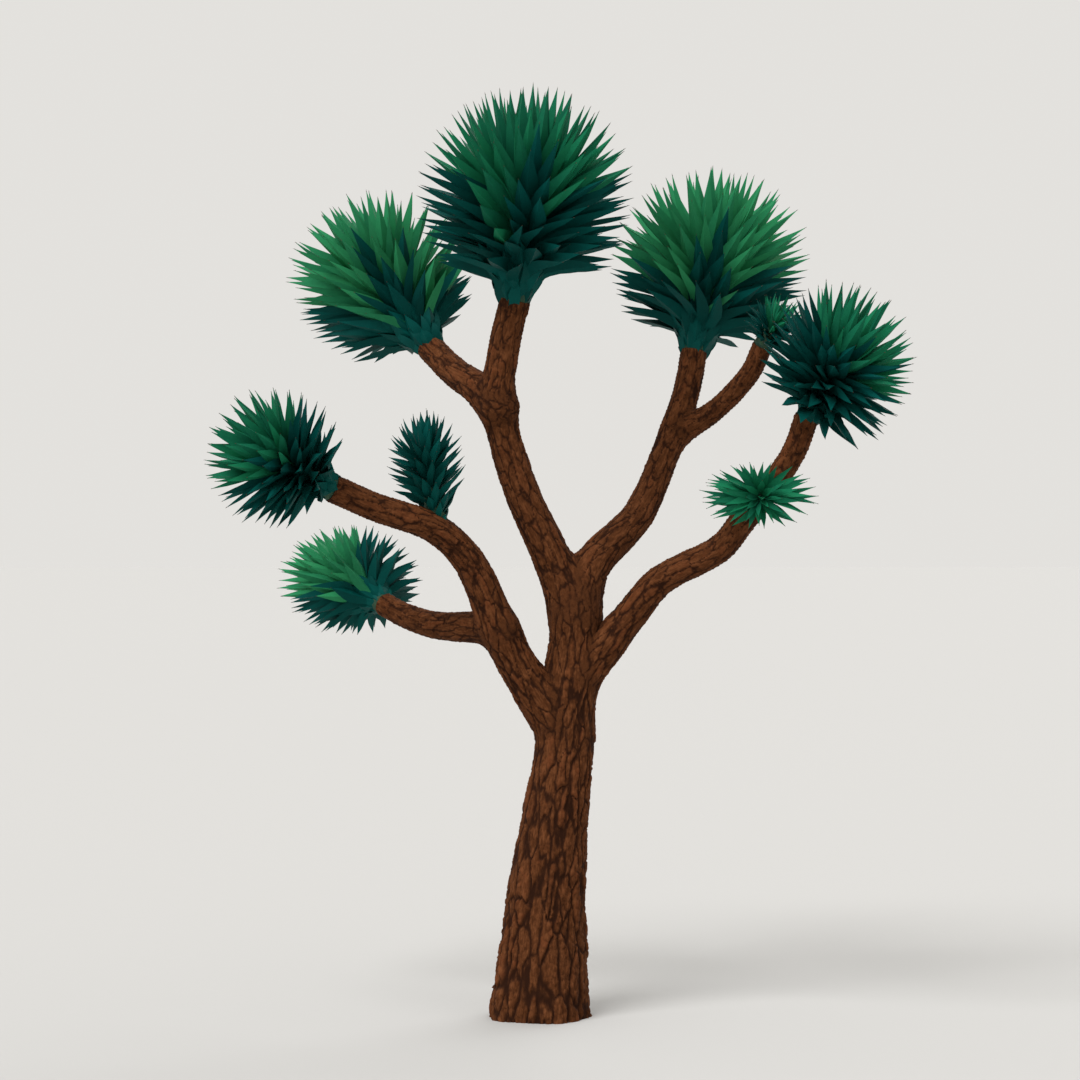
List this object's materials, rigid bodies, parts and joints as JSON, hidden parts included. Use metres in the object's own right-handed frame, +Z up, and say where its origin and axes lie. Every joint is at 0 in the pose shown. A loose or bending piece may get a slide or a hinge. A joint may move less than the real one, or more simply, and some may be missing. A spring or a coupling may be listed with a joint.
{
  "type": "joshua tree",
  "caption": "Young tree-like yucca: a flared bark trunk forks into curving boughs that end in round heads of stiff dagger leaves, cut flat at ground level.",
  "frame": {"origin": "middle of the flat cut under the trunk, at ground level", "axes": "+Z up, +X to the right and -Y towards the viewer as the picture shows the tree"},
  "size_m": [2.7229, 1.5973, 3.6982],
  "materials": {
    "bark": "dark brown corky bark, fissured and dull",
    "leaf_bright": "bright green stiff leaves, slightly waxy",
    "leaf_deep": "deep green stiff leaves, slightly waxy",
    "leaf_dark": "dark blue-green stiff leaves, slightly waxy"
  },
  "bodies": {
    "root": {"trunk": "bark", "bough_top": "bark", "bough_upper_right": "bark", "bough_right": "bark", "bough_left": "bark", "limb_upper_left": "bark", "limb_inner_right": "bark", "limb_lower_left": "bark", "head_top": "leaf_deep", "head_upper_left": "leaf_bright", "head_upper_right": "leaf_bright", "head_right": "leaf_deep", "head_left": "leaf_deep", "head_lower_left": "leaf_bright", "head_inner_right": "leaf_deep", "tuft_left": "leaf_dark", "tuft_right": "leaf_deep"}
  },
  "joints": []
}
